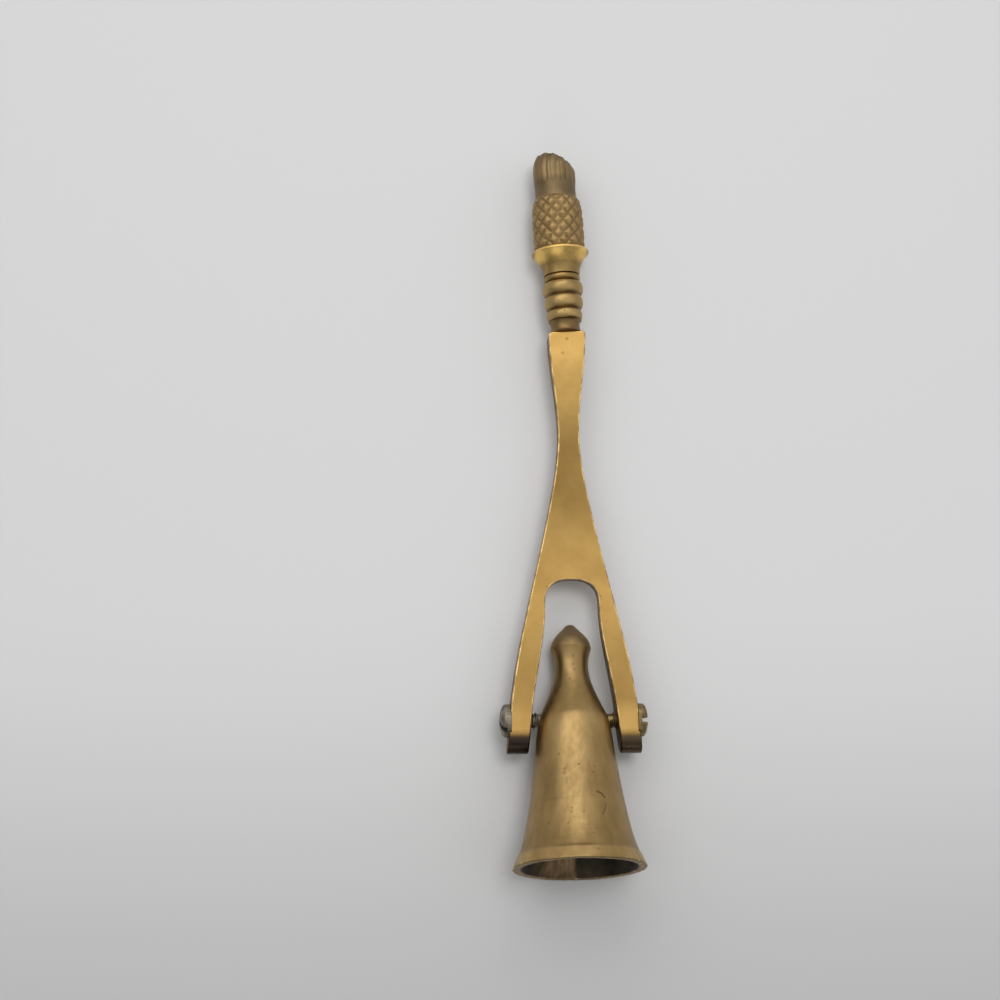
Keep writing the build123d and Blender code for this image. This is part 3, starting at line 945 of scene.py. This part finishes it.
# %% [markdown]
# ## The pivot screws
# Each screw goes through a prong and ends as a plain pin in the bell's wall. The head is a low
# dome with a straight slot, and the thread shows in the gap between prong and bell.

# %% Screw outline
head_radius = 4.9
head_edge = 1.6
head_dome = 1.7
slot_width = 1.5
slot_depth = 2.2
head_rounding = 0.25
dome_start, dome_drop = 0.97, 0.2
pin_tip = 8.2
pin_chamfer = 0.3
head_top = head_seat + head_edge + head_dome


def screw_outline():
    """Radius and place along the screw, from the pin's tip to the top of the head."""
    rim = head_seat + head_edge
    outline = [(0, pin_tip), (pin_radius - pin_chamfer, pin_tip), (pin_radius, pin_tip + pin_chamfer)]
    outline += [(pin_radius, head_seat), (head_radius - head_rounding, head_seat)]
    round_end = (head_radius, head_seat + head_rounding)
    outline += rounded(outline[-1], (head_radius, head_seat), round_end, 3)
    outline += [(head_radius, rim - dome_drop)]
    shares = even(dome_start, 0, 20)
    return outline + [(head_radius * t, rim + head_dome * math.sqrt(1 - t * t)) for t in shares]


print("screw outline:", len(screw_outline()), "points")

# %% Turn, slot and thread the screws
thread_start = 10.4
thread_pitch = 1.058
thread_depth = 0.5
thread_turns = 7
turn_steps = 40
thread_sink = 0.1
crest_start, crest_end = 0.45 * thread_pitch, 0.55 * thread_pitch


def add_thread(bm):
    """A ridge wound round the pin: a small notch shape spun while it climbs."""
    foot = pin_radius - thread_sink
    crest = pin_radius + thread_depth
    profile = [(foot, 0), (crest, crest_start), (crest, crest_end), (foot, thread_pitch)]
    verts = [bm.verts.new((0, thread_start + along, radius)) for radius, along in profile]
    edges = [bm.edges.new(pair) for pair in zip(verts, verts[1:])]
    climb = (0, thread_pitch / turn_steps, 0)
    bmesh.ops.spin(bm, geom=verts + edges, cent=(0, 0, 0), axis=(0, 1, 0), dvec=climb,
                   angle=2 * math.pi * thread_turns, steps=turn_steps * thread_turns)


def pivot_screw(node, side, slot_turn):
    """One screw: turned, slotted and threaded, then laid along the hinge toward its side."""
    slot = bmesh.new()
    size = Matrix.Diagonal((slot_width, 2 * slot_depth, 4 * head_radius, 1))
    bmesh.ops.create_cube(slot, size=1, matrix=Matrix.Translation((0, head_top, 0)) @ size)
    bm = cut_away(lathe(screw_outline(), 96), slot)
    add_thread(bm)
    bmesh.ops.recalc_face_normals(bm, faces=bm.faces)
    turned = Matrix.Rotation(math.radians(slot_turn), 4, "Y")
    lay = Matrix.Rotation(math.radians(-90 * side), 4, "Z") @ turned
    name = node.replace("_pivot", "")
    to_table(name, bm, handle_bench @ lay, "handle", node, [screw_steel], 30)


pivot_screw("right_pivot_screw", 1, 0)
pivot_screw("left_pivot_screw", -1, -35)

# %% [markdown]
# ## Table, light and camera
# The snuffer lies on a pale sheet under soft light from above. The room is bright overhead and
# darker low down, most of all at the near end, and that end of the sheet is painted darker, a
# painted shade. Two windows leave their glint on the metal, and a ceiling lamp lights only the
# sheet. The camera looks almost straight down, a little from the bell's end.

# %% Table
# Tones run from (place, tone) to (place, tone); the darker near end is a painted shade.
paper_tone_and_painted_shade = [(-0.165, 0.395), (-0.025, 0.535)]
paper_roughness = 0.9
sheet_half_width = 3


def tone_along(tree, source, axis, start, end, shape="SMOOTHSTEP"):
    """A tone that changes along one axis of a texture coordinate, from start to end."""
    parts = tree.nodes.new("ShaderNodeSeparateXYZ")
    tree.links.new(source, parts.inputs["Vector"])
    node = tree.nodes.new("ShaderNodeMapRange")
    node.interpolation_type = shape
    tree.links.new(parts.outputs[axis], node.inputs["Value"])
    levels = {"From Min": start[0], "From Max": end[0], "To Min": start[1], "To Max": end[1]}
    for name, level in levels.items():
        node.inputs[name].default_value = level
    return node.outputs["Result"]


def pale_sheet():
    """A sheet of paper under the snuffer, with painted shade at the near end."""
    bm = bmesh.new()
    bmesh.ops.create_grid(bm, x_segments=1, y_segments=1, size=sheet_half_width)
    sheet = as_object("pale_sheet", bm)
    paper = bpy.data.materials.new("pale_paper")
    paper.use_nodes = True
    tree = paper.node_tree
    shader = tree.nodes["Principled BSDF"]
    shader.inputs["Roughness"].default_value = paper_roughness
    where = tree.nodes.new("ShaderNodeTexCoord").outputs["Object"]
    tree.links.new(tone_along(tree, where, "Y", *paper_tone_and_painted_shade), shader.inputs["Base Color"])
    sheet.data.materials.append(paper)
    print(sheet.name, "tones along the sheet:", paper_tone_and_painted_shade)
    return sheet


sheet = pale_sheet()

# %% Light
# Brightness of the room by height, from near to far and from left to right.
height_tones = [(0, 0.44), (0.9, 0.905)]
depth_tones = [(-0.75, 0.25), (-0.1, 1)]
side_tones = [(-1, 0.82), (1, 1.18)]


def room_light():
    """A soft room: brightness climbs with height, and the near side is dim."""
    world = bpy.data.worlds.new("soft_room")
    bpy.context.scene.world = world
    world.use_nodes = True
    tree = world.node_tree
    where = tree.nodes.new("ShaderNodeTexCoord").outputs["Generated"]
    level = tone_along(tree, where, "Z", *height_tones)
    for tone in (tone_along(tree, where, "Y", *depth_tones),
                 tone_along(tree, where, "X", *side_tones, "LINEAR")):
        product = tree.nodes.new("ShaderNodeMath")
        product.operation = "MULTIPLY"
        tree.links.new(level, product.inputs[0])
        tree.links.new(tone, product.inputs[1])
        level = product.outputs["Value"]
    sky = tree.nodes["Background"]
    tree.links.new(level, sky.inputs["Strength"])
    sky.inputs["Color"].default_value = (1, 1, 1, 1)


def soft_lamp(name, place, size, power, mirrored=True):
    """A soft lamp at a place in metres, aimed at the snuffer; the metal can mirror it or not."""
    lamp = bpy.data.lights.new(name, "AREA")
    lamp.shape = "RECTANGLE"
    lamp.size, lamp.size_y = size
    lamp.energy = power
    item = bpy.data.objects.new(name, lamp)
    item.location = place
    item.rotation_euler = (-Vector(place)).to_track_quat("-Z", "Y").to_euler()
    item.visible_glossy = mirrored
    bpy.context.scene.collection.objects.link(item)
    print(name, size, "m,", power, "W")


room_light()
soft_lamp("window_above", (-0.29, 0.62, 0.80), (1.30, 0.50), 3.15)
soft_lamp("low_window", (-0.12, -0.85, 0.42), (0.55, 0.22), 0.7)
soft_lamp("ceiling_lamp", (0.12, 0.14, 1.0), (0.36, 0.36), 4.1, mirrored=False)

# %% Camera
camera_elevation = math.radians(79.564)
camera_roll = math.radians(0.658)
camera_side = math.radians(4)
camera_distance = 0.5109
camera_lens = 61.2
camera_target = Vector((-0.02084, 0.00191, 0.010))
turning_point = Matrix.Translation((0, 0, 0.010))


def aim_camera():
    """A camera that looks down at the target, rolled a little, and moved round to the left."""
    camera = bpy.data.cameras.new("eye")
    camera.lens = camera_lens
    camera.sensor_width = 36
    eye = bpy.data.objects.new("eye", camera)
    bpy.context.scene.collection.objects.link(eye)
    around = turning_point @ Matrix.Rotation(-camera_side, 4, "Y") @ turning_point.inverted()
    tip = Matrix.Rotation(math.pi / 2 - camera_elevation, 4, "X")
    look = tip @ Matrix.Rotation(-camera_roll, 4, "Z")
    place = Matrix.Translation(camera_target) @ look @ Matrix.Translation((0, 0, camera_distance))
    eye.matrix_world = around @ place
    bpy.context.scene.camera = eye
    print("camera at", [round(c, 3) for c in eye.matrix_world.translation])


aim_camera()
bpy.context.scene.view_settings.view_transform = "Standard"
